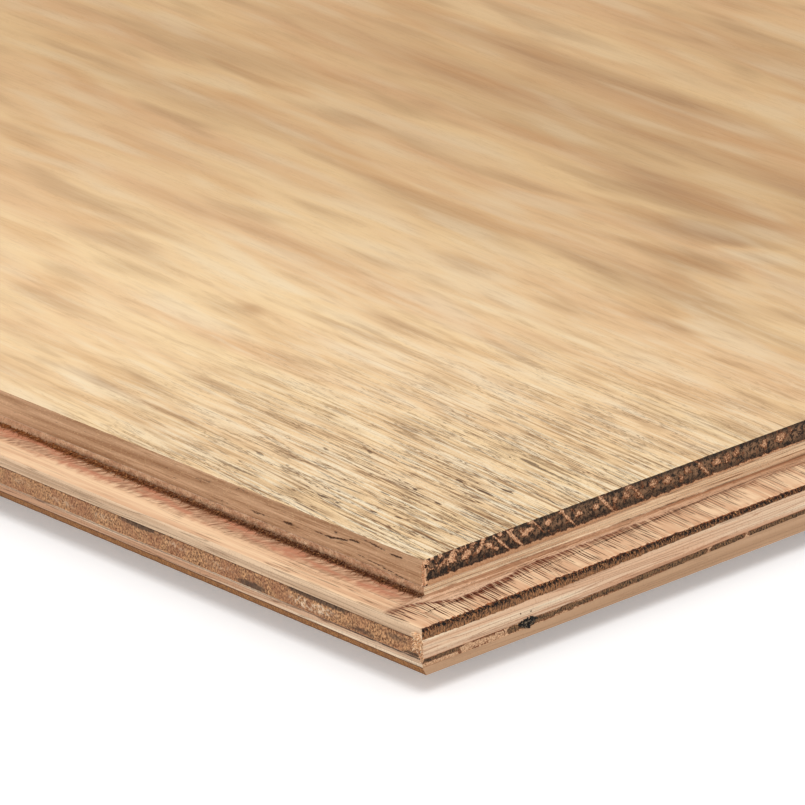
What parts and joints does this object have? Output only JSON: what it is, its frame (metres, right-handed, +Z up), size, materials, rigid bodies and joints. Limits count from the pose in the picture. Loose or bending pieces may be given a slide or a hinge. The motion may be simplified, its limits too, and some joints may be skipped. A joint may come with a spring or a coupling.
{
  "type": "engineered hardwood flooring plank",
  "caption": "Engineered wood flooring plank: oak face veneer on a cross-laid plywood core, with a tongue along a side and an end and matching grooves opposite.",
  "frame": {"origin": "centre of the underside of the whole plank, tongues included", "axes": "+X along the plank towards the end tongue, +Y across it towards the long groove, +Z up to the walking face"},
  "size_m": [2.2066, 0.2264, 0.014],
  "materials": {
    "oak_face": "unfinished oak, sawn and sanded, matt",
    "cross_veneer": "milled plywood veneer, grain across the plank",
    "long_veneer": "milled plywood veneer, grain along the plank",
    "dark_long_veneer": "milled plywood veneer, pinkish, grain along the plank",
    "backing_veneer": "sanded backing veneer, grain along the plank"
  },
  "bodies": {
    "root": {"face_veneer": "oak_face", "cross_ply_1": "cross_veneer", "long_ply_1": "long_veneer", "cross_ply_2": "cross_veneer", "long_ply_2": "dark_long_veneer", "cross_ply_3": "cross_veneer", "back_veneer": "backing_veneer"}
  },
  "joints": []
}
